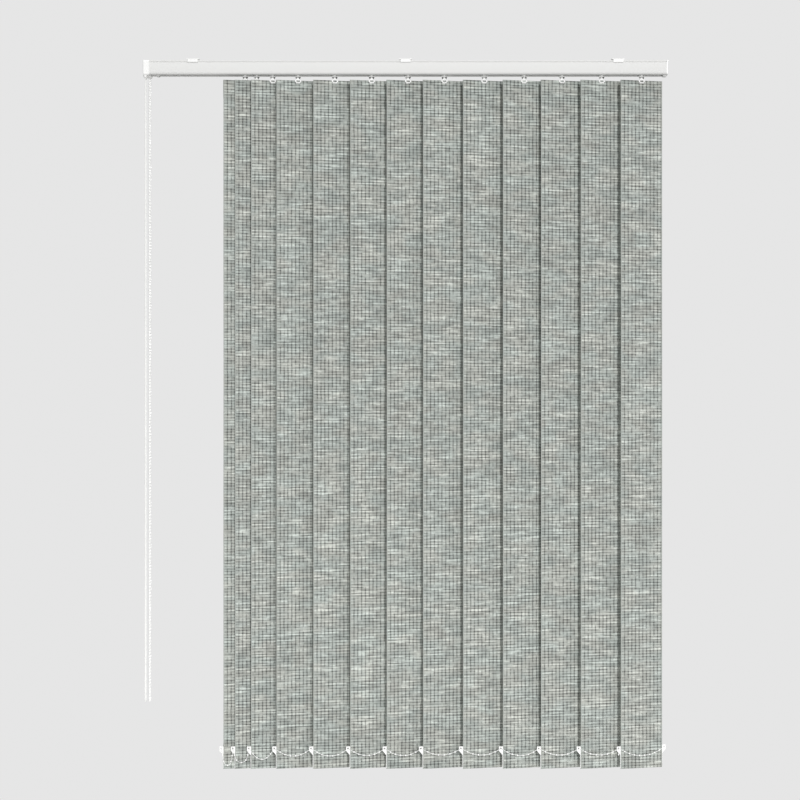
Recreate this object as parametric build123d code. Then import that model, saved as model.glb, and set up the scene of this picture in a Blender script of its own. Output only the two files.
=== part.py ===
from build123d import *
import math
import os

os.makedirs("parts", exist_ok=True)

# A vertical blind, top-fixed to a ceiling or the head of a window recess. Millimetres, +Z up, the
# room side is -Y. The origin is on the brackets' top face, at mid length and mid depth of the rail.

# ---------------------------------------------------------------- driving dimensions
RAIL_LEFT, RAIL_RIGHT = -511.0, 520.0
RAIL_TOP, RAIL_BOTTOM = -4.0, -32.2
WALL = 1.3  # of the extruded rail
SLOT_HALF = 7.0  # half the width of the slot that the hooks hang through
TRACK = RAIL_BOTTOM + WALL  # the wheels run on this face

SLAT_WIDTH, SLAT_LENGTH, CLOTH = 89.0, 1375.0, 0.5
SLAT_TOP = -42.0
SLAT_FOOT = SLAT_TOP - SLAT_LENGTH
REST_TURN = 17.2  # degrees from the rail's plane, the left edge towards the room
LAST_CARRIER_X = 472.0
# Distance from each carrier to the next, from the leading one to the fixed one at the stack end.
GAPS = [23.0, 32.0, 50.6, 73.6, 73.6, 72.8, 72.6, 79.8, 79.6, 75.8, 79.4, 79.8]
# How far the bottom chain hangs down between those carriers.
SAGS = [34.0, 28.0, 22.0, 15.0, 15.0, 14.0, 14.0, 13.0, 13.0, 14.0, 13.0, 13.0]

CARRIER_LENGTH, CARRIER_DEPTH = 18.0, 26.4
CARRIER_TOP, CARRIER_BOTTOM = -8.6, -28.6
ROD_Y, ROD_Z, ROD_R = 8.0, -16.5, 2.9
WORM_R, WORM_BORE = 4.0, 3.2
STEM_R, GEAR_R = 2.8, 3.7
WHEEL_R, WHEEL_WIDTH, PEG_R = 3.9, 3.2, 1.4
RUNNING = 0.06  # radial clearance of a shaft in its bore

CAP_LEFT, CAP_BOTTOM = -523.0, -33.5
CORD_X, CORD_Y, CORD_D = -519.0, (-16.5, 0.5), 2.4
CHAIN_X, CHAIN_THREAD = -512.0, 1.4
CHAIN_PITCH_R = 7.0  # of the chain wheel, so the chain's strands hang this far from its axis
LOOP_FOOT = -1283.0  # lowest point of both hanging loops
STRAND_TOP = -30.0  # where cord and chain end, inside the end cap

BRACKET_SPACING, BRACKET_WIDTH, SCREW_HOLE_R = 424.0, 25.0, 2.3

WEIGHT_T, WEIGHT_HALF, WEIGHT_TOP = 1.6, 42.5, 45.0
CLIP_U, CLIP_HOLE_Z, CLIP_HOLE_R = 49.0, 41.0, 1.1
LINK_D = 1.3  # thread of the bottom chain
LINK_AHEAD = -1.9  # the chain passes this far in front of the cloth's middle plane

HANGER_T, HANGER_HALF = 1.2, 40.0
PEG_Z = -46.3  # the hook's peg, which the hanger plate hangs on


def save(shape, name):
    """Write one sub-part."""
    shape.label = name
    export_step(shape, f"parts/{name}.step")


def block(x0, x1, y0, y1, z0, z1):
    """A box between six planes."""
    return Pos((x0 + x1) / 2, (y0 + y1) / 2, (z0 + z1) / 2) * Box(x1 - x0, y1 - y0, z1 - z0)


def along_x(face, x0, x1):
    """A section drawn as (Y, Z), extruded from x0 to x1."""
    return extrude(Plane.YZ.offset(x0) * face, x1 - x0)


def rod_x(y, z, r, x0, x1):
    """A round bar along X."""
    return along_x(Pos(y, z) * Circle(r), x0, x1)


def bar_z(x, y, r, z0, z1):
    """A round bar along Z."""
    return Pos(x, y, (z0 + z1) / 2) * Cylinder(r, z1 - z0)


def tube_on(points, diameter, note):
    """A round cord along straight runs joined by arcs, each arc as large as its two runs allow."""
    points = [Vector(*p) for p in points]
    runs = [b - a for a, b in zip(points, points[1:])]
    radii = []
    for first, second in zip(runs, runs[1:]):
        half_turn = math.radians(first.get_angle(second)) / 2
        radii.append(0.45 * min(first.length, second.length) / math.tan(half_turn))
    line = FilletPolyline(*points, radius=radii)
    section = Plane(origin=points[0], z_dir=runs[0]) * Circle(diameter / 2)
    tube = sweep(section, path=line)
    ideal = math.pi * diameter**2 / 4 * line.length
    print(f"{note}: {line.length:.1f} mm, radii {[round(r, 1) for r in radii]}, "
          f"volume {tube.volume / ideal:.4f} of section times length")
    return tube


# ---------------------------------------------------------------- headrail
def rail_half():
    """Half of the rail's section: a folded lip at the top, a groove, a bulging face, a round foot."""
    outer = Polyline((0, RAIL_TOP), (-20.4, RAIL_TOP), (-20.4, -6.4), (-19.2, -6.9), (-19.2, -8.1),
                     (-21.2, -8.8))
    face = ThreePointArc((-21.2, -8.8), (-22.0, -18.0), (-21.8, -27.2))
    foot = ThreePointArc((-21.8, -27.2), (-20.5, -30.9), (-17.2, RAIL_BOTTOM))
    lip = Polyline((-17.2, RAIL_BOTTOM), (-SLOT_HALF, RAIL_BOTTOM), (-SLOT_HALF, TRACK), (-17.2, TRACK))
    inner_foot = ThreePointArc((-17.2, TRACK), (-19.6, -29.9), (-20.5, -27.2))
    inner = Polyline((-20.5, -27.2), (-20.5, -10.0), (-17.9, -9.4), (-17.9, RAIL_TOP - WALL),
                     (0, RAIL_TOP - WALL), (0, RAIL_TOP))
    return make_face((outer + face + foot + lip + inner_foot + inner).edges())


half = rail_half()
rail = along_x(half + mirror(half, Plane.YZ), RAIL_LEFT, RAIL_RIGHT)
# The stop that keeps the leading carrier off the end cap is clipped across the slot.
stop = block(-497, -491, -9, 9, -34.9, RAIL_BOTTOM - 0.05)
stop = fillet(stop.edges().group_by(Axis.Z)[0], 1.2)
stop += block(-496, -492, -SLOT_HALF + 0.3, SLOT_HALF - 0.3, RAIL_BOTTOM - 0.2, TRACK + 0.05)
stop += block(-496, -492, -9, 9, TRACK + 0.05, TRACK + 1.6)
save(Compound([rail, stop]), "headrail")


# ---------------------------------------------------------------- end caps
def plug_ring(x0, x1):
    """The hollow spigot of an end cap, which sits in the rail's end."""
    return block(x0, x1, -17.2, 17.2, -28.5, -7.5) - block(x0 - 1, x1 + 1, -15.7, 15.7, -27.0, -9.0)


def outlet(x, y, bore, foot):
    """A short funnel under the cap, which a strand leaves through."""
    taper = Pos(x, y, (CAP_BOTTOM + foot) / 2) * Cone(bore + 1.0, bore + 2.2, CAP_BOTTOM - foot + 0.4)
    return taper


cap_face = Pos(0, (CAP_BOTTOM - 3.4) / 2) * RectangleRounded(45.2, -3.4 - CAP_BOTTOM, 3.0)
cap = along_x(cap_face, CAP_LEFT, RAIL_LEFT)
cap = fillet(cap.faces().sort_by(Axis.X)[0].edges(), 1.4)
cap -= block(CAP_LEFT + 1.6, RAIL_LEFT + 1, -20.6, 20.6, -31.7, -5.2)
rim = block(RAIL_LEFT - 1.5, RAIL_LEFT, -21.0, 21.0, -32.0, -5.0)
rim -= block(RAIL_LEFT - 2, RAIL_LEFT + 1, -15.7, 15.7, -31.7, -9.0)
cap += rim + plug_ring(RAIL_LEFT - 0.5, RAIL_LEFT + 9)
# The chain hangs close to the rail's end, so the cap's foot runs on a little under the rail.
cap += block(RAIL_LEFT - 4, RAIL_LEFT + 3, -4.0, 20.0, CAP_BOTTOM - 0.6, RAIL_BOTTOM - 0.1)
chain_y = (ROD_Y - CHAIN_PITCH_R, ROD_Y + CHAIN_PITCH_R)
for y in CORD_Y:
    cap += outlet(CORD_X, y, CORD_D / 2 + 0.5, -38.0)
for y in chain_y:
    cap += outlet(CHAIN_X, y, 2.5, -36.4)
cap -= block(RAIL_LEFT - 5, RAIL_LEFT + 3, -2.0, 18.0, CAP_BOTTOM + 0.9, -27.0)
for y in CORD_Y:
    cap -= bar_z(CORD_X, y, CORD_D / 2 + 0.5, -39, -29)
for y in chain_y:
    cap -= bar_z(CHAIN_X, y, 2.5, -39, -29)
boss_end = CAP_LEFT + 6.0
cap += rod_x(ROD_Y, ROD_Z, 5.0, CAP_LEFT + 1.0, boss_end)
cap -= rod_x(ROD_Y, ROD_Z, ROD_R + RUNNING, CAP_LEFT + 2.4, boss_end + 1)
save(cap, "control_end_cap")

end_face = Pos(0, -18.1) * RectangleRounded(44.8, 29.0, 3.0)
idle = along_x(end_face, RAIL_RIGHT, RAIL_RIGHT + 3)
idle = fillet(idle.faces().sort_by(Axis.X)[-1].edges(), 1.0)
idle += plug_ring(RAIL_RIGHT - 12, RAIL_RIGHT + 0.5)
lip = block(514, 521, -9, 9, -34.8, RAIL_BOTTOM - 0.1)
idle += fillet(lip.edges().group_by(Axis.Z)[0], 1.0)
idle += rod_x(ROD_Y, ROD_Z, 5.0, RAIL_RIGHT - 6, RAIL_RIGHT + 0.5)
idle -= rod_x(ROD_Y, ROD_Z, ROD_R + RUNNING, RAIL_RIGHT - 7, RAIL_RIGHT - 0.5)
save(idle, "idle_end_cap")


# ---------------------------------------------------------------- ceiling brackets
def bracket():
    """A spring clip: a flat top plate with a screw hole, and a jaw over each top edge of the rail."""
    jaw = Polyline((0, 0), (-17.5, 0), (-22.2, -2.6), (-22.2, -7.8), (-19.6, -7.8), (-19.6, -6.95),
                   (-20.8, -6.6), (-20.8, -3.5), (-17.0, -1.4), (0, -1.4), (0, 0))
    side = make_face(jaw.edges())
    clip = along_x(side + mirror(side, Plane.YZ), -BRACKET_WIDTH / 2, BRACKET_WIDTH / 2)
    for end in (-1, 1):  # the jaws are narrower than the plate
        x0, x1 = sorted((end * 10.0, end * (BRACKET_WIDTH / 2 + 1)))
        clip -= block(x0, x1, -23, -18.5, -9, 1)
        clip -= block(x0, x1, 18.5, 23, -9, 1)
    return clip - bar_z(0, 0, SCREW_HOLE_R, -3, 1)


brackets = [Pos(n * BRACKET_SPACING, 0, 0) * bracket() for n in (-1, 0, 1)]
save(Compound(brackets), "ceiling_brackets")


# ---------------------------------------------------------------- tilt shaft and chain wheel
def flutes(r_out, r_in, count):
    """A star-shaped section with flat-bottomed flutes."""
    points = []
    for n in range(4 * count):
        r = r_out if n % 4 < 2 else r_in
        angle = 2 * math.pi * n / (4 * count)
        points.append((r * math.cos(angle), r * math.sin(angle)))
    return make_face(Polyline(*points, close=True).edges())


journal = 4.0
rod = along_x(Pos(ROD_Y, ROD_Z) * flutes(ROD_R, 2.3, 6), CAP_LEFT + 2.8 + journal, RAIL_RIGHT - 5)
rod += rod_x(ROD_Y, ROD_Z, ROD_R, CAP_LEFT + 2.8, CAP_LEFT + 3.0 + journal)
rod += rod_x(ROD_Y, ROD_Z, ROD_R, RAIL_RIGHT - 6, RAIL_RIGHT - 0.9)
save(rod, "tilt_rod")

sprocket = rod_x(ROD_Y, ROD_Z, 7.4, CHAIN_X - 2.3, CHAIN_X + 2.3)
bead_seats = 10
for n in range(bead_seats):
    angle = 2 * math.pi * n / bead_seats
    seat = Pos(CHAIN_X, ROD_Y + CHAIN_PITCH_R * math.cos(angle), ROD_Z + CHAIN_PITCH_R * math.sin(angle))
    sprocket -= seat * Sphere(1.9)
sprocket -= rod_x(ROD_Y, ROD_Z, ROD_R + 0.03, CHAIN_X - 3, CHAIN_X + 3)
save(sprocket, "chain_wheel")


# ---------------------------------------------------------------- hanging loops
def loop_route(x, middle_y, r):
    """Down one strand, round three even corners at the foot, and up the other strand."""
    centre_z = LOOP_FOOT + r
    reach = r / math.cos(math.radians(30))
    return [
        (x, middle_y - r, STRAND_TOP),
        (x, middle_y - r, centre_z - reach / 2),
        (x, middle_y, centre_z - reach),
        (x, middle_y + r, centre_z - reach / 2),
        (x, middle_y + r, STRAND_TOP),
    ]


cord_route = loop_route(CORD_X, sum(CORD_Y) / 2, (CORD_Y[1] - CORD_Y[0]) / 2)
save(tube_on(cord_route, CORD_D, "pull cord"), "pull_cord")
chain_route = loop_route(CHAIN_X, ROD_Y, CHAIN_PITCH_R)
save(tube_on(chain_route, CHAIN_THREAD, "tilt chain"), "tilt_chain")


# ---------------------------------------------------------------- carriers
def carrier():
    """A carrier at x = 0: housing, worm sleeve and four wheels, as separate solids."""
    half_l, half_d = CARRIER_LENGTH / 2, CARRIER_DEPTH / 2
    body = block(-half_l, half_l, -half_d, half_d, CARRIER_BOTTOM, CARRIER_TOP)
    body = chamfer(body.edges().filter_by(Axis.X), 1.5)
    body -= rod_x(ROD_Y, ROD_Z, WORM_BORE, -half_l - 1, half_l + 1)
    body -= rod_x(ROD_Y, ROD_Z, WORM_R + 0.2, -4.3, 4.3)
    body -= bar_z(0, 0, GEAR_R + 0.3, ROD_Z - 2.3, CARRIER_TOP + 1)
    body -= bar_z(0, 0, STEM_R + RUNNING, CARRIER_BOTTOM - 1, ROD_Z)
    body -= block(-half_l - 1, half_l + 1, -half_d - 1, -7.0, CARRIER_TOP - 7, CARRIER_TOP + 1)
    worm = rod_x(ROD_Y, ROD_Z, WORM_R, -4.0, 4.0) - rod_x(ROD_Y, ROD_Z, WORM_BORE, -5, 5)
    wheels = []
    axle_z = TRACK + WHEEL_R + 0.05
    for x in (-4.6, 4.6):
        for side in (-1, 1):
            at = Pos(x, side * (half_d + 0.3 + WHEEL_WIDTH / 2), axle_z) * Rot(90, 0, 0)
            wheel = Cylinder(WHEEL_R, WHEEL_WIDTH) - Cylinder(PEG_R + RUNNING, WHEEL_WIDTH + 1)
            wheels.append(at * wheel)
            peg = Pos(x, side * (half_d + 1.7), axle_z) * Rot(90, 0, 0) * Cylinder(PEG_R, 4.4)
            body += peg
    return [body, worm, *wheels]


carrier_x = [LAST_CARRIER_X - sum(GAPS[n:]) for n in range(len(GAPS) + 1)]
carrier_solids = carrier()
for n, x in enumerate(carrier_x, 1):
    save(Compound([Pos(x, 0, 0) * s for s in carrier_solids]), f"carrier_{n:02d}")


# ---------------------------------------------------------------- slats and what hangs them
# Both are drawn about the hook's axis with the cloth along X and its thickness along Y, the front
# of the cloth towards -Y, and then turned to the rest angle.
def slat():
    """One strip of cloth, folded back and welded into a pocket at the top and at the foot."""
    front, back = -CLOTH / 2, CLOTH / 2
    head_back, foot_back = back + HANGER_T + 0.2, back + WEIGHT_T + 0.2
    head, foot = SLAT_TOP - 33.0, SLAT_FOOT + 47.0
    outline = Polyline(
        (front, SLAT_TOP - 0.6), (front + 0.5, SLAT_TOP), (head_back, SLAT_TOP),
        (head_back + CLOTH, SLAT_TOP - 0.6), (head_back + CLOTH, head), (back + CLOTH, head - 3),
        (back + CLOTH, head - 7), (back, head - 7), (back, foot + 7), (back + CLOTH, foot + 7),
        (back + CLOTH, foot + 3), (foot_back + CLOTH, foot), (foot_back + CLOTH, SLAT_FOOT + 0.8),
        (foot_back, SLAT_FOOT), (front + 0.5, SLAT_FOOT), (front, SLAT_FOOT + 0.6), close=True)
    half_w = SLAT_WIDTH / 2
    cloth = along_x(make_face(outline.edges()), -half_w, half_w)
    cloth -= block(-half_w - 1, half_w + 1, back, head_back, head, SLAT_TOP - CLOTH)
    cloth -= block(-half_w - 1, half_w + 1, back, foot_back, SLAT_FOOT + CLOTH, foot)
    return cloth - block(-4.5, 4.5, front - 1, head_back + CLOTH + 1, PEG_Z - 1.5, PEG_Z + 1.3)


def hook():
    """The carrier's stem and hook: a gear head, a round stem, a flange, a neck, a ring and its peg."""
    stem = bar_z(0, 0, STEM_R, -33.0, ROD_Z + 2.0) + bar_z(0, 0, GEAR_R, ROD_Z - 2.0, ROD_Z + 2.0)
    flange = block(-6.5, 6.5, -1.6, 1.6, -34.8, -32.6)
    flange = fillet(flange.edges().filter_by(Axis.Z), 1.2)
    neck_line = Polyline((-1.6, -34.0), (-1.6, -36.6), (-4.0, -40.2), (4.0, -40.2), (1.6, -36.6),
                         (1.6, -34.0), close=True)
    neck = extrude(Plane.XZ.offset(-0.9) * make_face(neck_line.edges()), 2.35)
    ring_face = Pos(0, -43.2) * (Ellipse(6.5, 4.0) - Ellipse(4.2, 2.0))
    ring = extrude(Plane.XZ.offset(0.45) * ring_face, 1.0)
    peg = Pos(0, 0.6, PEG_Z) * Rot(90, 0, 0) * Cylinder(0.8, 2.6)
    return stem + flange + neck + ring + peg


def hanger():
    """The plastic plate in the top pocket."""
    y0 = CLOTH / 2 + 0.1
    plate = block(-HANGER_HALF, HANGER_HALF, y0, y0 + HANGER_T, SLAT_TOP - 30, SLAT_TOP - 1)
    plate = fillet(plate.edges().filter_by(Axis.Y), 2.5)
    return plate - block(-4.0, 4.0, y0 - 1, y0 + HANGER_T + 1, PEG_Z - 1.2, PEG_Z + 0.9)


def bottom_weight():
    """The plate in the foot pocket, with a clip for the chain at each end."""
    y0 = CLOTH / 2 + 0.1
    foot, top = SLAT_FOOT + 0.8, SLAT_FOOT + WEIGHT_TOP
    right = [(WEIGHT_HALF, foot), (WEIGHT_HALF, SLAT_FOOT + 27), (52.8, SLAT_FOOT + 38), (52.8, top)]
    left = [(-x, z) for x, z in reversed(right)]
    face = make_face(Polyline(*right, *left, close=True).edges())
    plate = extrude(Plane.XZ.offset(-y0) * face, -WEIGHT_T)
    for side in (-1, 1):
        at = Pos(side * CLIP_U, y0, SLAT_FOOT + CLIP_HOLE_Z) * Rot(90, 0, 0)
        plate -= at * Cylinder(CLIP_HOLE_R, 6)
    return plate


# Points of a hanging span, as shares of its width and of its sag. A narrow span hangs as a hairpin.
SHALLOW = [(0, 0), (0.14, 0.50), (0.36, 0.96), (0.64, 0.98), (0.86, 0.52), (1, 0)]
HAIRPIN = [(0, 0), (0.05, 0.34), (0.13, 0.69), (0.30, 0.97), (0.70, 0.99), (0.87, 0.71), (0.95, 0.36),
           (1, 0)]


def span_route(start, end, sag):
    """The chain's points between two clips at one height."""
    width = math.dist(start, end)
    shape = HAIRPIN if sag > 0.6 * width else SHALLOW
    z = SLAT_FOOT + CLIP_HOLE_Z
    return [(start[0] + s * (end[0] - start[0]), start[1] + s * (end[1] - start[1]), z - d * sag)
            for s, d in shape]


turn = math.radians(REST_TURN)


def turned(u, v):
    """A point of a slat's own frame, turned to the rest angle."""
    return u * math.cos(turn) - v * math.sin(turn), u * math.sin(turn) + v * math.cos(turn)


cloth_solid, fitting_solids = slat(), [hook(), hanger(), bottom_weight()]
tail = tube_on(span_route((-CLIP_U + 0.6, LINK_AHEAD), (CLIP_U, LINK_AHEAD), 16.0), LINK_D, "tail span")
for n, x in enumerate(carrier_x, 1):
    at = Pos(x, 0, 0) * Rot(0, 0, REST_TURN)
    save(at * cloth_solid, f"slat_{n:02d}")
    extra = [tail] if n == len(carrier_x) else []
    save(Compound([at * s for s in fitting_solids + extra]), f"slat_fittings_{n:02d}")

# ---------------------------------------------------------------- bottom chain
clip_x, clip_y = turned(-CLIP_U, LINK_AHEAD)
for n, (x, gap, sag) in enumerate(zip(carrier_x, GAPS, SAGS), 1):
    start, end = (x + clip_x + 0.6, clip_y), (x + gap + clip_x - 0.6, clip_y)
    save(tube_on(span_route(start, end, sag), LINK_D, f"span {n}"), f"bottom_chain_{n:02d}")
end_x, end_y = turned(-CLIP_U, CLOTH / 2 + 0.1 + WEIGHT_T / 2)
last_bead = Pos(LAST_CARRIER_X + end_x, end_y, SLAT_FOOT + 28.6) * Sphere(1.5)
save(last_bead, "bottom_chain_end")
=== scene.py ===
import math

import bpy
import numpy as np
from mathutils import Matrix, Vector


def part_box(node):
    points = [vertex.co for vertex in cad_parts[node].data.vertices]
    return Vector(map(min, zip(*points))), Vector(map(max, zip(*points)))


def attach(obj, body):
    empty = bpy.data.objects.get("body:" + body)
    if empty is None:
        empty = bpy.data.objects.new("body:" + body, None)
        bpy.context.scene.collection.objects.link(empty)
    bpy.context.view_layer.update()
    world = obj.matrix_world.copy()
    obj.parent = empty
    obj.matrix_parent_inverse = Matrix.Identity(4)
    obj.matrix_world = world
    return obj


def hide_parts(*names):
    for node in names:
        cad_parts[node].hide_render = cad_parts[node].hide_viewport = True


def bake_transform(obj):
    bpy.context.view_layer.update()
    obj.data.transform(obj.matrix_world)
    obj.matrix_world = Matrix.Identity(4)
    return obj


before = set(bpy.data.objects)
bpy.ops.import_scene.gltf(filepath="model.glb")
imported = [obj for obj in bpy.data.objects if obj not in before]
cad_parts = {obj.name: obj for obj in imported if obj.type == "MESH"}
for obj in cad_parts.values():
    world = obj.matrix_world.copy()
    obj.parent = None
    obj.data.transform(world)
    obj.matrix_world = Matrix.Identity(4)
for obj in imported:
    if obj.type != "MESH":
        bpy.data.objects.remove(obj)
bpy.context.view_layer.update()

# A ceiling-fixed vertical blind: thirteen cloth slats on sliding carriers, weighted and chained at
# the foot, with a pull cord and a tilt chain at the left end. Metres, +Z up, the room side is -Y.

MM = 0.001
REST_TURN = math.radians(17.2)  # the slats' turn from the rail's plane, left edge towards the room


def middle_x(node):
    """Middle of a CAD node along the rail."""
    low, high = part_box(node)
    return (low.x + high.x) / 2


# ---------------------------------------------------------------- sizes
# The slats' number, places, top and foot come from the frame.
SLATS = sum(name.startswith("carrier_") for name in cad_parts)
AXES = [middle_x(f"carrier_{n:02d}") for n in range(1, SLATS + 1)]  # of the hooks, left to right
GAPS = [after - before for before, after in zip(AXES, AXES[1:])]
SLAT_FOOT, SLAT_TOP = (corner.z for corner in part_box("slat_01"))
SLAT_HALF = 44.5 * MM
CLOTH = 0.46 * MM
HANGER_T, WEIGHT_T = 1.2 * MM, 1.6 * MM
BEHIND = 0.35 * MM  # the plates start this far behind the cloth's middle plane
PEG_Z = -46.3 * MM
SLOT_LOW, SLOT_HIGH = PEG_Z - 1.5 * MM, PEG_Z + 1.3 * MM  # of the slot the hook goes through
SLOT_HALF = 4.5 * MM

CLIP_U, CLIP_Z, CLIP_HOLE_R = 49.0 * MM, SLAT_FOOT + 41 * MM, 1.6 * MM
LINK_D, LINK_AHEAD = 0.9 * MM, -1.9 * MM  # the bottom chain's thread, and its place before the cloth
LINK_BEAD_R, LINK_BEAD_STEP = 1.7 * MM, 11.3 * MM
EYE_WIRE_R = 0.22 * MM
END_BEAD_R = 1.5 * MM

CORD_X, CORD_Y, CORD_D = -519 * MM, -8 * MM, 2.4 * MM
CHAIN_X, CHAIN_Y, CHAIN_THREAD = -512 * MM, 8 * MM, 1.4 * MM
CHAIN_BEAD_R, CHAIN_BEAD_STEP = 2.2 * MM, 6 * MM
CORD_REACH, CHAIN_REACH = 8.5 * MM, 7 * MM  # from each loop's middle line to its strands
STRAND_TOP, LOOP_FOOT = -30 * MM, -1283 * MM


# ---------------------------------------------------------------- camera
def set_camera():
    """A long lens straight in front, near the middle of the blind's height."""
    camera = bpy.data.objects.new("camera", bpy.data.cameras.new("camera"))
    camera.data.sensor_width = 36
    camera.data.lens = 112.5
    camera.location = (-0.011, -5.0, -0.681)
    camera.rotation_euler = (math.radians(90), 0, 0)
    bpy.context.collection.objects.link(camera)
    bpy.context.scene.camera = camera


set_camera()


# ---------------------------------------------------------------- surfaces
def shell(points, loop_rows=False, loop_cols=False, caps=False, across=None, along=None,
          leave_out=None):
    """A grid of points, rows by columns, as vertices, faces and corner UVs. Rows or columns may run
    round to meet themselves, and caps close the first and last row with one face each. leave_out
    (row, column) says which faces are left out. A closed shell whose faces point inwards, by the sum
    of each face's area vector times its distance from the middle, is turned inside out."""
    rows, cols = points.shape[:2]
    row, col = np.meshgrid(np.arange(rows - (not loop_rows)), np.arange(cols - (not loop_cols)),
                           indexing="ij")
    row, col = row.ravel(), col.ravel()
    if leave_out is not None:
        kept = ~leave_out(row, col)
        row, col = row[kept], col[kept]
    corner_row = np.stack([row, row, row + 1, row + 1], axis=1)
    corner_col = np.stack([col, col + 1, col + 1, col], axis=1)
    quads = (corner_row % rows) * cols + corner_col % cols
    across = np.arange(cols + 1.0) / cols if across is None else across
    along = np.arange(rows + 1.0) / rows if along is None else along
    uv = np.stack([across[corner_col], along[corner_row]], axis=-1)
    flat = points.reshape(-1, 3)
    faces, uvs = quads.tolist(), [uv.reshape(-1, 2)]
    if caps:
        ring = np.arange(cols)
        faces += [ring[::-1].tolist(), (ring + (rows - 1) * cols).tolist()]
        uvs += [np.stack([across[ring[::-1]], np.full(cols, along[0])], axis=-1),
                np.stack([across[ring], np.full(cols, along[rows - 1])], axis=-1)]
    uvs = np.concatenate(uvs)
    if caps or (loop_rows and loop_cols):
        a, b, c, d = (flat[quads[:, k]] for k in range(4))
        area = np.cross(c - a, d - b)
        if np.sum(area * ((a + b + c + d) / 4 - flat.mean(axis=0))) < 0:
            faces = [face[::-1] for face in faces]
            ends = np.cumsum([len(face) for face in faces])
            uvs = np.concatenate([part[::-1] for part in np.split(uvs, ends[:-1])])
    return flat, faces, uvs


def copies(part, centres):
    """The same small shell set down at each centre."""
    points, faces, uvs = part
    count = len(centres)
    moved = (points[None] + np.asarray(centres)[:, None]).reshape(-1, 3)
    shifts = range(0, count * len(points), len(points))
    repeated = [[corner + shift for corner in face] for shift in shifts for face in faces]
    return moved, repeated, np.tile(uvs, (count, 1))


def piece(name, shells, material, sharp=None):
    """One mesh object made of shells, with its place in its mesh. Its edges are sharp from the given
    angle in degrees on, and all smooth without one."""
    starts = np.cumsum([0] + [len(points) for points, _, _ in shells])
    faces = [[corner + int(start) for corner in face]
             for (_, part, _), start in zip(shells, starts) for face in part]
    mesh = bpy.data.meshes.new(name)
    mesh.from_pydata(np.concatenate([points for points, _, _ in shells]).tolist(), [], faces)
    uv = mesh.uv_layers.new(name="UVMap")
    uv.data.foreach_set("uv", np.concatenate([part for _, _, part in shells]).ravel())
    mesh.shade_smooth()
    if sharp:
        mesh.set_sharp_from_angle(angle=math.radians(sharp))
    mesh.materials.append(material)
    made = bpy.data.objects.new(name, mesh)
    bpy.context.collection.objects.link(made)
    return made


def round_bead(radius, rings=5, sides=8):
    """A bead about the origin: each ring is a circle at an even latitude, closed by small caps."""
    cap_latitude = 68  # degrees
    latitude = np.radians(np.linspace(-cap_latitude, cap_latitude, rings))[:, None]
    longitude = (2 * math.pi * np.arange(sides) / sides)[None]
    points = np.stack(np.broadcast_arrays(np.cos(latitude) * np.cos(longitude),
                                          np.cos(latitude) * np.sin(longitude),
                                          np.sin(latitude)), axis=-1)
    return shell(points * radius, loop_cols=True, caps=True)


# ---------------------------------------------------------------- cords
def smooth_line(points, step):
    """Points a step apart on a NURBS line of order 3 that has the route's points as its control
    points. They are read from the line's own mesh, and spaced evenly by length."""
    curve = bpy.data.curves.new("route", "CURVE")
    curve.dimensions = "3D"
    curve.resolution_u = 24
    spline = curve.splines.new("NURBS")
    spline.points.add(len(points) - 1)
    for point, place in zip(spline.points, points):
        point.co = (*place, 1)
    spline.order_u = 3
    spline.use_endpoint_u = True
    holder = bpy.data.objects.new("route", curve)
    mesh = bpy.data.meshes.new_from_object(holder)
    line = np.empty(3 * len(mesh.vertices))
    mesh.vertices.foreach_get("co", line)
    line = line.reshape(-1, 3)
    bpy.data.objects.remove(holder)
    bpy.data.curves.remove(curve)
    bpy.data.meshes.remove(mesh)
    return evenly(line, step)


def run_of(line):
    """Distance along a line at each of its points."""
    return np.concatenate([[0], np.cumsum(np.linalg.norm(np.diff(line, axis=0), axis=1))])


def evenly(line, step):
    """The same line with points a step apart."""
    run = run_of(line)
    places = np.linspace(0, run[-1], max(2, round(run[-1] / step) + 1))
    return np.stack([np.interp(places, run, axis) for axis in line.T], axis=-1)


def tube(line, radius, side, sides=8, relief=None):
    """A round section carried along a line that lies in one plane: each ring is the line's point
    plus radius times (cosine of the angle on the plane's normal, sine on the normal crossed with
    the line's direction). relief(angle, run) scales the radius."""
    side = np.asarray(side, float)
    ahead = np.gradient(line, axis=0)
    ahead /= np.linalg.norm(ahead, axis=1)[:, None]
    up = np.cross(side, ahead)
    angle = 2 * math.pi * np.arange(sides) / sides
    run = run_of(line)
    size = np.full((len(line), sides), radius)
    if relief is not None:
        size *= relief(angle[None], run[:, None])
    points = (line[:, None] + side * (size * np.cos(angle))[..., None]
              + up[:, None] * (size * np.sin(angle))[..., None])
    across = np.arange(sides + 1) / sides
    return shell(points, loop_cols=True, caps=True, across=across, along=run)


def loop_route(x, middle_y, reach):
    """Down one strand, round three even corners at the foot, and up the other strand. One more
    point on each long strand keeps it straight until it is near its corner."""
    centre_z = LOOP_FOOT + reach
    corner = reach / math.cos(math.radians(30))
    return [
        (x, middle_y - reach, STRAND_TOP),
        (x, middle_y - reach, centre_z + corner / 2),
        (x, middle_y - reach, centre_z - corner / 2),
        (x, middle_y, centre_z - corner),
        (x, middle_y + reach, centre_z - corner / 2),
        (x, middle_y + reach, centre_z + corner / 2),
        (x, middle_y + reach, STRAND_TOP),
    ]


# Points of a hanging span, as shares of its width and of its sag.
SHALLOW = [(0, 0), (0.14, 0.50), (0.36, 0.96), (0.64, 0.98), (0.86, 0.52), (1, 0)]
HAIRPIN = [(0, 0), (0.05, 0.34), (0.13, 0.69), (0.30, 0.97), (0.70, 0.99), (0.87, 0.71), (0.95, 0.36),
           (1, 0)]
HAIRPIN_FROM = 0.6  # a span hangs as a hairpin where its sag is more than this share of its width
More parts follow.
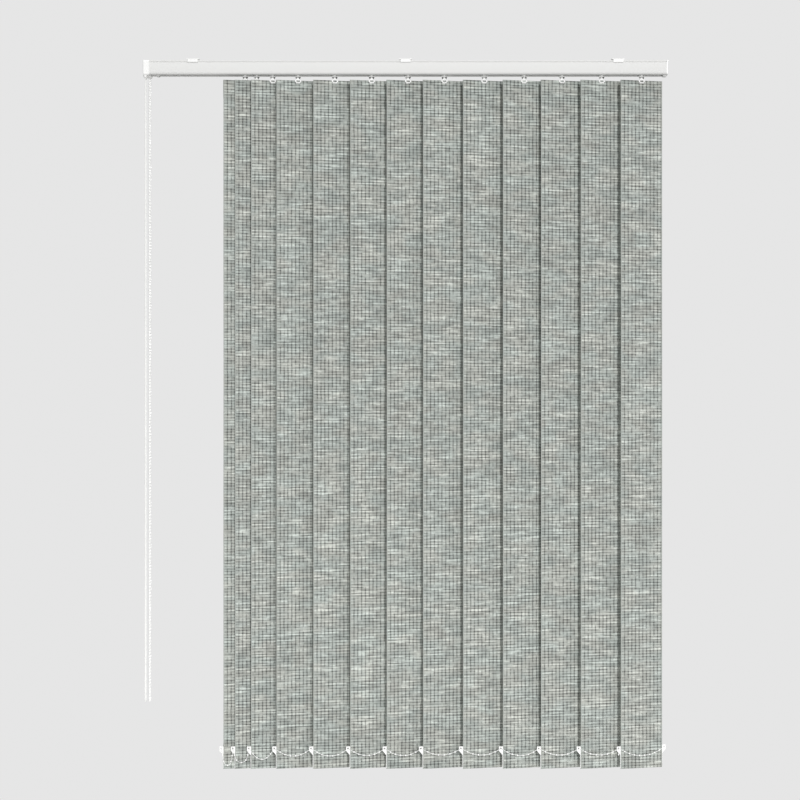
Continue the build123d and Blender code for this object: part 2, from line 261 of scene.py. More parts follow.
# How far the bottom chain hangs down between one slat and the next.
SAGS = [MM * sag for sag in (34, 28, 22, 15, 15, 14, 14, 13, 13, 14, 13, 13)]
TAIL_SAG = 16 * MM
CLIP_EDGE = 0.6 * MM  # a span starts this far from the middle of its clip's hole


def span_route(start, end, sag):
    """The chain's points between two clips at one height."""
    shape = HAIRPIN if sag > HAIRPIN_FROM * math.dist(start, end) else SHALLOW
    return [(start[0] + share * (end[0] - start[0]), start[1] + share * (end[1] - start[1]),
             CLIP_Z - drop * sag) for share, drop in shape]


def turned(u, v):
    """A point of a slat's own frame, turned to the rest angle about its hook."""
    c, s = math.cos(REST_TURN), math.sin(REST_TURN)
    return u * c - v * s, u * s + v * c


def on_slat(n, u, v, z):
    """Points of slat n's own frame (across, depth, height) in the blind's frame."""
    x, y = turned(u, v)
    return np.stack(np.broadcast_arrays(AXES[n - 1] + x, y, z), axis=-1)


# ---------------------------------------------------------------- node trees
class Net:
    """Adds nodes to one tree. An input given as a socket is linked, and any other is set."""

    def __init__(self, tree):
        self.tree = tree

    def link(self, value, socket):
        """Leads one socket to another."""
        self.tree.links.new(value, socket)

    def node(self, kind, inputs=None, **settings):
        """A node with its settings, then its inputs by name or number."""
        made = self.tree.nodes.new(kind)
        for name, value in settings.items():
            setattr(made, name, value)
        for key, value in (inputs or {}).items():
            if isinstance(value, bpy.types.NodeSocket):
                self.link(value, made.inputs[key])
            else:
                made.inputs[key].default_value = value
        return made

    def use(self, group, **inputs):
        """A node group's outputs. An underscore stands for a space in an input's name."""
        named = {label.replace("_", " "): value for label, value in inputs.items()}
        return self.node("ShaderNodeGroup", named, node_tree=group).outputs

    def math(self, operation, *values):
        """One operation on floats."""
        return self.node("ShaderNodeMath", dict(enumerate(values)), operation=operation).outputs[0]

    def remap(self, value, low, high, to_low=0.0, to_high=1.0):
        """A soft step from to_low to to_high while the value goes from low to high."""
        inputs = {"Value": value, "From Min": low, "From Max": high, "To Min": to_low, "To Max": to_high}
        return self.node("ShaderNodeMapRange", inputs, interpolation_type="SMOOTHSTEP").outputs[0]

    def vector(self, x, y, z=0.0):
        """Three floats as a vector."""
        return self.node("ShaderNodeCombineXYZ", {0: x, 1: y, 2: z}).outputs[0]

    def parts(self, vector):
        """A vector's three floats."""
        return self.node("ShaderNodeSeparateXYZ", {0: vector}).outputs

    def noise(self, vector, scale=1.0, detail=2.0):
        """Noise from 0 to 1, mostly near a half."""
        inputs = {"Vector": vector, "Scale": scale, "Detail": detail}
        return self.node("ShaderNodeTexNoise", inputs).outputs[0]

    def tint(self, factor, first, second, blend="MIX"):
        """Two colours mixed or blended."""
        inputs = {0: factor, 6: first, 7: second}
        return self.node("ShaderNodeMix", inputs, data_type="RGBA", blend_type=blend).outputs[2]

    def grey(self, value):
        """A float as a neutral colour."""
        return self.node("ShaderNodeCombineColor", {0: value, 1: value, 2: value}).outputs[0]


def new_group(name, inputs, outputs):
    """A node group with named inputs, given as label: default (a vector where the default is None),
    and float outputs."""
    tree = bpy.data.node_groups.new(name, "ShaderNodeTree")
    for label, value in inputs.items():
        kind = "NodeSocketVector" if value is None else "NodeSocketFloat"
        socket = tree.interface.new_socket(label, in_out="INPUT", socket_type=kind)
        if value is not None:
            socket.default_value = value
    for label in outputs:
        tree.interface.new_socket(label, in_out="OUTPUT", socket_type="NodeSocketFloat")
    net = Net(tree)
    return tree, net, net.node("NodeGroupInput").outputs, net.node("NodeGroupOutput").inputs


def thread_rows_group():
    """Parallel rows of thick-and-thin yarn. Place across the rows is divided by the pitch and made to
    wander a little; its whole part numbers the yarn, and its fraction says how near the gap to the
    next yarn is. Each yarn has its own tone, which changes along it, and each gap opens and closes.
    The crown is 1 less the square of twice the distance from the yarn's middle."""
    tree, net, start, end = new_group(
        "thread_rows",
        {"Across": 0.0, "Along": 0.0, "Pitch": 0.008, "Streak": 0.03, "Wander": 0.3, "Gap Width": 0.2,
         "Seed": 0.0},
        ("Gap", "Tone", "Crown"))
    yarn_apart, gap_apart = 7.3, 5.7  # steps through the noise, so that neighbours aren't alike
    sway_across, sway_along, gap_along = 0.4, 1.3, 1.8  # noise per yarn, and per streak
    place = net.math("DIVIDE", start["Across"], start["Pitch"])
    reach = net.math("DIVIDE", start["Along"], start["Streak"])
    sway = net.noise(net.vector(net.math("MULTIPLY", place, sway_across),
                                net.math("MULTIPLY", reach, sway_along), start["Seed"]), detail=1.0)
    sway = net.math("MULTIPLY", net.math("SUBTRACT", sway, 0.5), start["Wander"])
    place = net.math("ADD", place, sway)
    number = net.math("FLOOR", place)
    share = net.math("SUBTRACT", place, number)
    from_middle = net.math("ABSOLUTE", net.math("SUBTRACT", share, 0.5))
    gap = net.remap(from_middle, net.math("SUBTRACT", 0.5, start["Gap Width"]), 0.5)
    # A gap lies between two yarns, so its number changes at the yarns' middles.
    gap_number = net.math("FLOOR", net.math("ADD", place, 0.5))
    openness = net.noise(net.vector(net.math("MULTIPLY", gap_number, gap_apart),
                                    net.math("MULTIPLY", reach, gap_along), start["Seed"]))
    openness = net.remap(openness, 0.28, 0.56)
    tone = net.noise(net.vector(net.math("MULTIPLY", number, yarn_apart), reach,
                                net.math("ADD", start["Seed"], 3.1)))
    net.link(net.math("MULTIPLY", gap, openness), end["Gap"])
    net.link(net.remap(tone, 0.3, 0.7), end["Tone"])
    crown = net.math("SUBTRACT", 1.0, net.math("POWER", net.math("MULTIPLY", from_middle, 2.0), 2.0))
    net.link(crown, end["Crown"])
    return tree


def mottle_group():
    """Slight unevenness of a moulded or painted surface: a broad and a fine noise, each about 0."""
    tree, net, start, end = new_group(
        "mottle", {"Place": None, "Broad": 30.0, "Fine": 600.0}, ("Broad Mottle", "Fine Mottle"))
    broad = net.noise(start["Place"], scale=start["Broad"], detail=3.0)
    fine = net.noise(start["Place"], scale=start["Fine"])
    net.link(net.math("SUBTRACT", broad, 0.5), end["Broad Mottle"])
    net.link(net.math("SUBTRACT", fine, 0.5), end["Fine Mottle"])
    return tree


def new_material(name, **constants):
    """A material with its Principled shader, whose named inputs are set to constants."""
    material = bpy.data.materials.new(name)
    material.use_nodes = True
    shader = material.node_tree.nodes["Principled BSDF"]
    for label, value in constants.items():
        shader.inputs[label.replace("_", " ")].default_value = value
    return material, Net(material.node_tree), shader


def bump(net, shader, height, strength, distance):
    """Leads a height to the shader's normal."""
    inputs = {"Height": height, "Strength": strength, "Distance": distance}
    net.link(net.node("ShaderNodeBump", inputs).outputs[0], shader.inputs["Normal"])


THREAD_ROWS = thread_rows_group()
MOTTLE = mottle_group()


def smooth_white(name, colour, roughness, spread, depth, stretch=(1, 1, 1), **constants):
    """White plastic or paint: a base colour that drifts by the spread, uneven gloss and a fine skin of
    the given depth. The stretch draws the unevenness out along an extruded piece."""
    gloss_fine, gloss_broad = 0.12, 0.10
    material, net, shader = new_material(name, **constants)
    place = net.node("ShaderNodeTexCoord").outputs["Object"]
    place = net.node("ShaderNodeMapping", {"Vector": place, "Scale": stretch}).outputs[0]
    mottle = net.use(MOTTLE, Place=place)
    lighter = net.math("MULTIPLY_ADD", mottle["Broad Mottle"], spread, 1.0)
    colour = net.tint(1.0, (*colour, 1), net.grey(lighter), "MULTIPLY")
    net.link(colour, shader.inputs["Base Color"])
    rough = net.math("MULTIPLY_ADD", mottle["Fine Mottle"], gloss_fine, roughness)
    rough = net.math("MULTIPLY_ADD", mottle["Broad Mottle"], gloss_broad, rough)
    net.link(rough, shader.inputs["Roughness"])
    bump(net, shader, mottle["Fine Mottle"], strength=0.3, distance=depth)
    return material


def slub_cloth():
    """Loosely woven cloth of thick-and-thin yarn: pale upright yarns crossed by level ones, dark
    pinholes where four yarns part, long light and dark slubs, and grey-green and warm drifts. The
    tone is a base plus a share of each yarn's tone, times 1 plus the share of each gap, which is
    below 0, and the same for the pinholes."""
    base, level_share, upright_share, slub_share = 0.98, 0.36, 0.22, 0.60
    upright_gap, level_gap, thin_gap, pinhole_share, fine_share = -0.55, -0.50, -0.22, -0.60, 0.08
    fine_across, fine_along = 1.1 * MM, 0.95 * MM
    # the cut edges' painted highlight: where it starts and ends, its tone, and its share
    edge_highlight_from, edge_highlight_to, edge_highlight_tone, edge_highlight_share = 2.6 * MM, 1.2 * MM, 1.45, 0.75
    drift_across, drift_along = 15.0, 27.0  # per metre
    grey_green, warm = (0.318, 0.345, 0.325, 1), (0.343, 0.353, 0.326, 1)
    material, net, shader = new_material(
        "slub_cloth", Roughness=0.88, Sheen_Weight=0.15, Sheen_Roughness=0.6, Specular_IOR_Level=0.25)
    u, v, _ = net.parts(net.node("ShaderNodeUVMap", uv_map="UVMap").outputs[0])
    upright = net.use(THREAD_ROWS, Across=u, Along=v, Pitch=7.9 * MM, Streak=28 * MM, Wander=0.22,
                      Gap_Width=0.28, Seed=1.0)
    level = net.use(THREAD_ROWS, Across=v, Along=u, Pitch=5.7 * MM, Streak=44 * MM, Wander=0.3,
                    Gap_Width=0.33, Seed=9.0)
    thin = net.use(THREAD_ROWS, Across=v, Along=u, Pitch=2.3 * MM, Streak=60 * MM, Wander=0.5,
                   Gap_Width=0.35, Seed=17.0)
    tone = net.math("MULTIPLY_ADD", level["Tone"], level_share, base)
    tone = net.math("MULTIPLY_ADD", upright["Tone"], upright_share, tone)
    slub = net.remap(thin["Tone"], 0.6, 1.0)
    tone = net.math("MULTIPLY_ADD", slub, slub_share, tone)
    pinhole = net.math("MULTIPLY", upright["Gap"], level["Gap"])
    for gap, share in ((upright["Gap"], upright_gap), (level["Gap"], level_gap),
                       (thin["Gap"], thin_gap), (pinhole, pinhole_share)):
        tone = net.math("MULTIPLY", tone, net.math("MULTIPLY_ADD", gap, share, 1.0))
    # Fine yarns about 1 mm apart cross as a plain weave under the thick ones.
    fine_u = net.math("SINE", net.math("MULTIPLY", u, 2 * math.pi / fine_across))
    fine_v = net.math("SINE", net.math("MULTIPLY", v, 2 * math.pi / fine_along))
    fine = net.math("MULTIPLY", fine_u, fine_v)
    tone = net.math("MULTIPLY", tone, net.math("MULTIPLY_ADD", fine, fine_share, 1.0))
    # Painted highlight: near each cut edge the cloth is painted paler, for the light that the edge
    # catches.
    edge = net.math("ABSOLUTE", net.math("SUBTRACT", u, SLAT_HALF))
    edge = net.remap(edge, SLAT_HALF - edge_highlight_from, SLAT_HALF - edge_highlight_to)
    tone = net.math("MULTIPLY_ADD", net.math("SUBTRACT", edge_highlight_tone, tone),
                    net.math("MULTIPLY", edge, edge_highlight_share), tone)
    drift = net.noise(net.vector(net.math("MULTIPLY", u, drift_across),
                                 net.math("MULTIPLY", v, drift_along)), detail=3.0)
    colour = net.tint(net.remap(drift, 0.36, 0.64), grey_green, warm)
    colour = net.tint(1.0, colour, net.grey(tone), "MULTIPLY")
    net.link(colour, shader.inputs["Base Color"])
    height = net.math("MULTIPLY_ADD", fine, 0.25, upright["Crown"])
    height = net.math("ADD", height, level["Crown"])
    height = net.math("SUBTRACT", height, pinhole)
    bump(net, shader, height, strength=0.5, distance=0.25 * MM)
    return material


def braided_cord():
    """White braid: two sets of diagonal strands, one each way round the cord, and a soft nap."""
    material, net, shader = new_material("braided_cord", Roughness=0.7, Sheen_Weight=0.2,
                                         Specular_IOR_Level=0.3)
    u, v, _ = net.parts(net.node("ShaderNodeUVMap", uv_map="UVMap").outputs[0])
    strands_round, lay = 4, 1.6 * MM
    turns = net.math("MULTIPLY", u, 2 * math.pi * strands_round)
    rise = net.math("MULTIPLY", v, 2 * math.pi / lay)
    one_way = net.math("SINE", net.math("ADD", turns, rise))
    other_way = net.math("SINE", net.math("SUBTRACT", turns, rise))
    strands = net.math("MAXIMUM", one_way, other_way)
    shade = net.remap(strands, -1.0, 1.0, to_low=0.80)
    colour = net.tint(1.0, (0.90, 0.90, 0.885, 1), net.grey(shade), "MULTIPLY")
    net.link(colour, shader.inputs["Base Color"])
    bump(net, shader, strands, strength=0.6, distance=0.12 * MM)
    return material


def drawn_metal():
    """Bright extruded aluminium. Its drawing lines are a noise that is drawn out along the rail."""
    material, net, shader = new_material("drawn_metal", Metallic=1.0)
    place = net.node("ShaderNodeTexCoord").outputs["Object"]
    place = net.node("ShaderNodeMapping", {"Vector": place, "Scale": (3, 400, 400)}).outputs[0]
    lines = net.noise(place, scale=4.0, detail=3.0)
    colour = net.tint(lines, (0.62, 0.62, 0.63, 1), (0.80, 0.80, 0.81, 1))
    net.link(colour, shader.inputs["Base Color"])
    net.link(net.remap(lines, 0.3, 0.7, to_low=0.25, to_high=0.42), shader.inputs["Roughness"])
    bump(net, shader, lines, strength=0.2, distance=0.05 * MM)
    return material


CLOTH_FINISH = slub_cloth()
CORD_FINISH = braided_cord()
ROD_FINISH = drawn_metal()
# The rail's colour is its white paint darkened by painted shade, so it is greyer than the paint itself.
RAIL_PAINT_AND_SHADE = smooth_white("rail_paint_with_painted_shade", (0.69, 0.69, 0.68), roughness=0.52, spread=0.05,
                           depth=0.04 * MM, stretch=(0.06, 1, 1), Specular_IOR_Level=0.3)
CAP_FINISH = smooth_white("gloss_cap", (0.83, 0.83, 0.82), roughness=0.36, spread=0.04,
                          depth=0.03 * MM, Coat_Weight=0.1, Coat_Roughness=0.25)
BRACKET_FINISH = smooth_white("bracket_plastic", (0.84, 0.84, 0.83), roughness=0.38, spread=0.05,
                              depth=0.04 * MM)
CARRIER_FINISH = smooth_white("carrier_plastic", (0.74, 0.74, 0.72), roughness=0.5, spread=0.07,
                              depth=0.05 * MM)
FITTING_FINISH = smooth_white("moulded_fitting", (0.90, 0.90, 0.89), roughness=0.32, spread=0.04,
                              depth=0.03 * MM)
CHAIN_FINISH = smooth_white("chain_plastic", (0.90, 0.90, 0.89), roughness=0.34, spread=0.06,
                            depth=0.03 * MM)


# ---------------------------------------------------------------- hanging loops at the left end
def braid_relief(angle, run):
    """Four rounded strands wound round the cord: radius scale is 1 plus a small cosine of four times
    the angle less the run's own turn."""
    height, strands, turn_length = 0.035, 4, 9 * MM
    return 1 + height * np.cos(strands * angle - 2 * math.pi * run / turn_length)


def hang_pull_cord():
    """The loop that draws the carriers along: one cord down, round, and up."""
    line = smooth_line(loop_route(CORD_X, CORD_Y, CORD_REACH), 1.25 * MM)
    cord = piece("pull_cord_loop", [tube(line, CORD_D / 2, (1, 0, 0), 12, braid_relief)], CORD_FINISH)
    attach(cord, "rail")
    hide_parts("pull_cord")


def hang_tilt_chain():
    """The ball chain that turns the tilt rod: moulded beads at an even step on a thread."""
    line = smooth_line(loop_route(CHAIN_X, CHAIN_Y, CHAIN_REACH), 2 * MM)
    thread = piece("tilt_chain_thread", [tube(line, CHAIN_THREAD / 2, (1, 0, 0))], CHAIN_FINISH)
    centres = evenly(line, CHAIN_BEAD_STEP)[1:-1]
    beads = piece("tilt_chain_beads", [copies(round_bead(CHAIN_BEAD_R), centres)], CHAIN_FINISH)
    for part in (thread, beads):
        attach(part, "rail")
        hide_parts("tilt_chain")


# ---------------------------------------------------------------- bottom chain
def wire(start, end, radius):
    """A thin straight wire: its rings are square to the line from start to end."""
    start, end = np.array(start), np.array(end)
    side = np.cross(end - start, (0, 0, 1))
    return tube(evenly(np.array([start, end]), math.dist(start, end) / 3), radius,
                side / np.linalg.norm(side), 6)


def chain_between(name, route, side, eyes):
    """A thread along a route with beads at an even step. It stops 2 mm short of the two clips, and a
    wire leads from each end of it into the clip's eye."""
    line = smooth_line(route, 1 * MM)[2:-2]
    wires = [wire(eye, end, EYE_WIRE_R) for eye, end in zip(eyes, (line[0], line[-1]))]
    thread = piece(f"{name}_thread", [tube(line, LINK_D / 2, side)], CHAIN_FINISH)
    count = max(2, round(run_of(line)[-1] / LINK_BEAD_STEP))
    centres = evenly(line, run_of(line)[-1] / count)[1:-1]
    beads = piece(f"{name}_beads", [copies(round_bead(LINK_BEAD_R, 7, 12), centres), *wires], CHAIN_FINISH)
    return line, thread, beads


def hang_bottom_chain():
    """A span from each slat's left clip to the next slat's, which gathers as the carriers close, and
    the tail across the last slat."""
    clip_x, clip_y = turned(-CLIP_U, LINK_AHEAD)
    eye_v = BEHIND + WEIGHT_T / 2
    eye_x, eye_y = turned(-CLIP_U, eye_v)
    for n, (x, gap, sag) in enumerate(zip(AXES, GAPS, SAGS), 1):
        start = (x + clip_x + CLIP_EDGE, clip_y)
        end = (x + gap + clip_x - CLIP_EDGE, clip_y)
        eyes = [(x + eye_x, eye_y, CLIP_Z), (x + gap + eye_x, eye_y, CLIP_Z)]
        route = span_route(start, end, sag)
        line, thread, beads = chain_between(f"link_{n:02d}", route, (0, 1, 0), eyes)
        for part in (thread, beads):
            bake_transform(part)
            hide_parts(f"bottom_chain_{n:02d}")

    start, end = ((AXES[-1] + x, y) for x, y in (turned(-CLIP_U + CLIP_EDGE, LINK_AHEAD),
                                                 turned(CLIP_U, LINK_AHEAD)))
    side = (-math.sin(REST_TURN), math.cos(REST_TURN), 0)
    eyes = [on_slat(SLATS, u, eye_v, CLIP_Z) for u in (-CLIP_U, CLIP_U)]
    line, thread, beads = chain_between("tail", span_route(start, end, TAIL_SAG), side, eyes)
    for part in (thread, beads):
        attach(part, f"vane_{SLATS:02d}")
        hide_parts(f"slat_fittings_{SLATS:02d}")


def hang_chain_end():
    """The chain's spare end: a short thread and one bead below the last slat's left clip."""
    low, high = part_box("bottom_chain_end")
    bead = np.array((low + high) / 2)
    line = evenly(np.array([[bead[0], bead[1], CLIP_Z - CLIP_HOLE_R], bead]), 1 * MM)
    end = piece("chain_end", [tube(line, LINK_D / 2, (0, 1, 0)),
                              copies(round_bead(END_BEAD_R, 7, 12), [bead])], CHAIN_FINISH)
    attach(end, f"chain_{SLATS:02d}")
    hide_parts("bottom_chain_end")


hang_pull_cord()
hang_tilt_chain()
hang_bottom_chain()
hang_chain_end()


# ---------------------------------------------------------------- slats
def stops(*knots):
    """Even steps between knots given as (place, steps to the next), without repeats."""
    parts = [np.linspace(a, b, count, endpoint=False)
             for (a, count), (b, _) in zip(knots, knots[1:])]
    return np.concatenate([*parts, [knots[-1][0]]])


def arc(centre_v, centre_z, radius, first, last, steps):
    """Points round a fold, between two angles in degrees, without the ends."""
    angle = np.radians(np.linspace(first, last, steps + 1)[1:-1])
    return np.stack([centre_v + radius * np.cos(angle), centre_z + radius * np.sin(angle)], axis=-1)


def slat_profile():
    """Depth and height along the cloth: up the head pocket's back, over the fold, down the front,
    round the foot fold and up the foot pocket's back. Each pocket's free edge is pressed to the
    front layer below or above its plate."""
    welded = CLOTH + 0.04 * MM
    head_r, foot_r = 0.95 * MM, 1.15 * MM
    head_z, foot_z = SLAT_TOP - CLOTH / 2 - head_r, SLAT_FOOT + CLOTH / 2 + foot_r
    head_end, foot_end = SLAT_TOP - 33 * MM, SLAT_FOOT + 47 * MM
    slope, weld_end = 3.2 * MM, 7 * MM  # from a pocket's end: to where the layers meet, to the edge

    def flat(v, z):
        return np.stack(np.broadcast_arrays(v, z), axis=-1)

    head_back = stops((head_end, 4), (SLOT_LOW, 1), (SLOT_HIGH, 1), (head_z, 0))
    front = stops((head_z, 1), (SLOT_HIGH, 1), (SLOT_LOW, 5), (head_end - weld_end, 110),
                  (foot_end + weld_end, 8), (foot_z, 0))
    foot_back = stops((foot_z, 8), (foot_end, 0))
    return np.concatenate([
        flat(welded, stops((head_end - weld_end, 2), (head_end - slope, 0))),
        flat(2 * head_r, head_back),
        arc(head_r, head_z, head_r, 0, 180, 8),
        flat(0, front),
        arc(foot_r, foot_z, foot_r, 180, 360, 8),
        flat(2 * foot_r, foot_back),
        flat(welded, stops((foot_end + slope, 2), (foot_end + weld_end, 0))),
    ])


def slat_surface(n, profile):
    """Slat n and its length: the profile drawn across the cloth's width, with the hook's slot left
    out. A point's depth is the profile's, plus a slight bow and twist that fade out at the plates: a
    cosine down the slat, another times the square of the place across, and a sine times the place
    across."""
    first_seed, fade = 400, 0.7
    weave_shift = 2.3  # the weave starts this many metres further on for each slat
    bow_deep, cup_deep, twist_deep = 0.30, 0.28, 0.30  # millimetres
    u = np.concatenate([np.linspace(-SLAT_HALF, -SLOT_HALF, 9), [0],
                        np.linspace(SLOT_HALF, SLAT_HALF, 9)])
    v, z = profile[:, :1], profile[:, 1:]
    chance = np.random.default_rng(first_seed + n)
    phase, wave = chance.uniform(0, 2 * math.pi, 3), chance.uniform(5, 11, 3)
    down = (SLAT_TOP - z) / (SLAT_TOP - SLAT_FOOT)
    free = np.clip(np.sin(math.pi * down), 0, 1) ** fade
    share = u[None] / SLAT_HALF
    bow = (bow_deep * np.cos(wave[0] * z + phase[0])
           + cup_deep * share**2 * np.cos(wave[1] * z + phase[1])
           + twist_deep * share * np.sin(wave[2] * z + phase[2]))
    points = on_slat(n, u[None], v + MM * free * bow, z)
    run = run_of(np.column_stack([profile, np.zeros(len(profile))]))
    middle_z = (profile[1:, 1] + profile[:-1, 1]) / 2
    in_slot = (middle_z > SLOT_LOW) & (middle_z < SLOT_HIGH)

    def slot(row, col):
        return in_slot[row] & (np.abs((u[col] + u[col + 1]) / 2) < SLOT_HALF)

    surface = shell(points, across=u + SLAT_HALF, along=run + weave_shift * n, leave_out=slot)
    return surface, run[-1]


def hang_slats():
    """Thirteen strips of cloth, each folded and welded into a pocket at head and foot."""
    profile = slat_profile()
    for n in range(1, SLATS + 1):
        surface, length = slat_surface(n, profile)
        cloth = piece(f"slat_cloth_{n:02d}", [surface], CLOTH_FINISH)
        thick = cloth.modifiers.new("thickness", "SOLIDIFY")
        thick.thickness = CLOTH
        thick.offset = 0
        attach(cloth, f"vane_{n:02d}")
        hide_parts(f"slat_{n:02d}")


# ---------------------------------------------------------------- hooks and plates
def rounded_outline(corners, radius, steps=5):
    """A closed outline whose corners are rounded by an arc that touches both sides. The arc's points
    are even steps of its chord, pushed out to the radius."""
    corners = np.array(corners, float)
    before, after = np.roll(corners, 1, axis=0) - corners, np.roll(corners, -1, axis=0) - corners
    before /= np.linalg.norm(before, axis=1)[:, None]
    after /= np.linalg.norm(after, axis=1)[:, None]
    half = np.arccos(np.clip(np.sum(before * after, axis=1), -1, 1)) / 2
    inwards = (before + after) / np.linalg.norm(before + after, axis=1)[:, None]
    centres = corners + inwards * (radius / np.sin(half))[:, None]
    first = corners + before * (radius / np.tan(half))[:, None] - centres
    last = corners + after * (radius / np.tan(half))[:, None] - centres
    share = np.linspace(0, 1, steps)[None, :, None]
    spoke = first[:, None] * (1 - share) + last[:, None] * share
    spoke *= radius / np.linalg.norm(spoke, axis=2)[..., None]
    return (centres[:, None] + spoke).reshape(-1, 2)


def box_outline(half, low, high, radius, steps=5):
    """A rounded box about the middle of a slat, between two heights."""
    return rounded_outline([(-half, low), (half, low), (half, high), (-half, high)], radius, steps)


def drawn_in(outline, distance):
    """The outline moved inwards by a distance, square to its own sides."""
    ahead = np.roll(outline, -1, axis=0) - np.roll(outline, 1, axis=0)
    ahead /= np.linalg.norm(ahead, axis=1)[:, None]
    left = np.column_stack([-ahead[:, 1], ahead[:, 0]])
    following = np.roll(outline, -1, axis=0)
    area = np.sum(outline[:, 0] * following[:, 1] - outline[:, 1] * following[:, 0])
    return outline + left * distance * np.sign(area)


def plate(n, outline, front, back, rim):
    """A plate: its outline (across, height) carried through its depth, with both rims rounded by a
    quarter circle of radius rim."""
    angle = np.radians(np.linspace(0, 90, 4))
    inset = rim * (1 - np.sin(angle))
    depth = rim * (1 - np.cos(angle))
    insets = np.concatenate([inset, inset[::-1]])
    depths = np.concatenate([front + depth, back - depth[::-1]])
    rows = np.stack([drawn_in(outline, d) for d in insets])
    return shell(on_slat(n, rows[..., 0], depths[:, None], rows[..., 1]), loop_cols=True, caps=True)


def polar_reach(outline, centre, angles):
    """Distance from a centre to an outline at each angle."""
    away = outline - centre
    angle = np.arctan2(away[:, 1], away[:, 0])
    order = np.argsort(angle)
    return np.interp(angles, angle[order], np.linalg.norm(away, axis=1)[order], period=2 * math.pi)


def clip_plate(n, outline, centre, hole, front, back):
    """A plate round a hole: the plate's section is carried round the hole, and at each angle it
    reaches from the hole's edge to the outline. The front is sunk between a collar round the hole
    and a border along the outline, both equally wide."""
    collar, sunk, rim = 0.6 * MM, 0.2 * MM, 0.2 * MM
    spokes, outline_step = 64, 0.05 * MM
    angles = np.linspace(-math.pi, math.pi, spokes, endpoint=False)
    angles = np.sort(np.concatenate([angles, np.arctan2(*(outline - centre).T[::-1])]))
    outline = evenly(np.concatenate([outline, outline[:1]]), outline_step)[:-1]
    spoke = np.stack([np.cos(angles), np.sin(angles)], axis=-1)
    reach = polar_reach(outline, centre, angles)
    # (from the hole's edge or from the outline, how far in, depth)
    section = [
        ("hole", 0, front + rim), ("hole", rim, front), ("hole", collar, front),
        ("hole", collar + sunk, front + sunk), ("out", collar + sunk, front + sunk),
        ("out", collar, front), ("out", rim, front), ("out", 0, front + rim), ("out", 0, back - rim),
        ("out", rim, back), ("hole", rim, back), ("hole", 0, back - rim),
    ]
    rows = []
    for edge, inset, v in section:
        distance = np.full(len(angles), hole + inset) if edge == "hole" else reach - inset
        place = centre + spoke * distance[:, None]
        rows.append(on_slat(n, place[:, 0], v, place[:, 1]))
    return shell(np.stack(rows), loop_rows=True, loop_cols=True)


def hook_ring(n, centre_z, wide, tall, front, back):
    """A flat oval ring: its round-cornered section is carried round an ellipse. Half the section's
    width grows with the cosine's size towards the ring's sides, and shrinks with the sine below its
    middle. The section is a power of the cosine by the same power of the sine."""
    steps, section_steps, power = 48, 12, 0.5
    thin, wider_sides, thinner_foot = 0.95 * MM, 0.30 * MM, 0.15 * MM
    angle = 2 * math.pi * np.arange(steps) / steps
    half_w = (thin + wider_sides * np.abs(np.cos(angle))
              - thinner_foot * np.clip(-np.sin(angle), 0, 1))
    turn = 2 * math.pi * np.arange(section_steps) / section_steps
    square = np.power(np.abs(np.cos(turn)), power) * np.sign(np.cos(turn))
    rise = np.power(np.abs(np.sin(turn)), power) * np.sign(np.sin(turn))
    outwards = half_w[None] * square[:, None]
    u = (wide + outwards) * np.cos(angle)
    z = centre_z + (tall + outwards) * np.sin(angle)
    v = (front + back) / 2 + (back - front) / 2 * rise[:, None]
    return shell(on_slat(n, u, v, z), loop_rows=True, loop_cols=True)


def hook_stem(n, heights, radii, teeth, toothed):
    """A bar turned about the hook's axis: a ring of the given radius at each height, scaled by a
    cosine of the teeth's number times the angle between the two heights in toothed."""
    sides, tooth_depth = 60, 0.07
    angle = 2 * math.pi * np.arange(sides) / sides
    heights, radii = np.array(heights)[:, None], np.array(radii)[:, None]
    cut = (heights >= toothed[0]) & (heights <= toothed[1])
    size = radii * (1 + tooth_depth * cut * np.cos(teeth * angle)[None])
    return shell(on_slat(n, size * np.cos(angle), size * np.sin(angle), heights), loop_cols=True,
                 caps=True)


def hook_peg(n, z, radius, front, back):
    """A round pin through the middle of the cloth, with its two ends chamfered."""
    sides, chamfer = 16, 0.25 * radius
    angle = 2 * math.pi * np.arange(sides) / sides
    size = np.array([radius - chamfer, radius, radius, radius - chamfer])[:, None]
    depth = np.array([front, front + chamfer, back - chamfer, back])[:, None]
    points = on_slat(n, size * np.cos(angle), depth, z + size * np.sin(angle))
    return shell(points, loop_cols=True, caps=True)


def hook_shells(n):
    """The hook: gear head and stem inside the carrier, a flange under the rail, a web that narrows
    to a neck and widens again, an oval ring, and the peg that the hanger plate sits on."""
    stem_z = MM * np.array([-33.4, -32.9, -18.5, -18.4, -14.6, -14.5])
    stem_r = MM * np.array([2.4, 2.7, 2.7, 3.45, 3.45, 3.2])
    flange = box_outline(6.5 * MM, -34.7 * MM, -32.7 * MM, 0.7 * MM)
    left = [(-5.9, -33.6), (-5.9, -34.3), (-1.5, -36.1), (-1.5, -36.9), (-4.4, -40.3)]
    web = rounded_outline(MM * np.array(left + [(-u, z) for u, z in left[::-1]]), 0.3 * MM, 4)
    return [
        hook_stem(n, stem_z, stem_r, teeth=10, toothed=(-18.45 * MM, -14.55 * MM)),
        plate(n, flange, -1.6 * MM, 1.6 * MM, 0.4 * MM),
        plate(n, web, -1.45 * MM, 0.9 * MM, 0.3 * MM),
        hook_ring(n, -43.2 * MM, 5.35 * MM, 3.0 * MM, -1.5 * MM, -0.4 * MM),
        hook_peg(n, PEG_Z, 0.8 * MM, -0.7 * MM, 1.9 * MM),
    ]


def hanger_shells(n):
    """The plate in the head pocket."""
    outline = box_outline(40 * MM, SLAT_TOP - 30 * MM, SLAT_TOP - 1.2 * MM, 2.5 * MM, 8)
    return [plate(n, outline, BEHIND, BEHIND + HANGER_T, 0.3 * MM)]


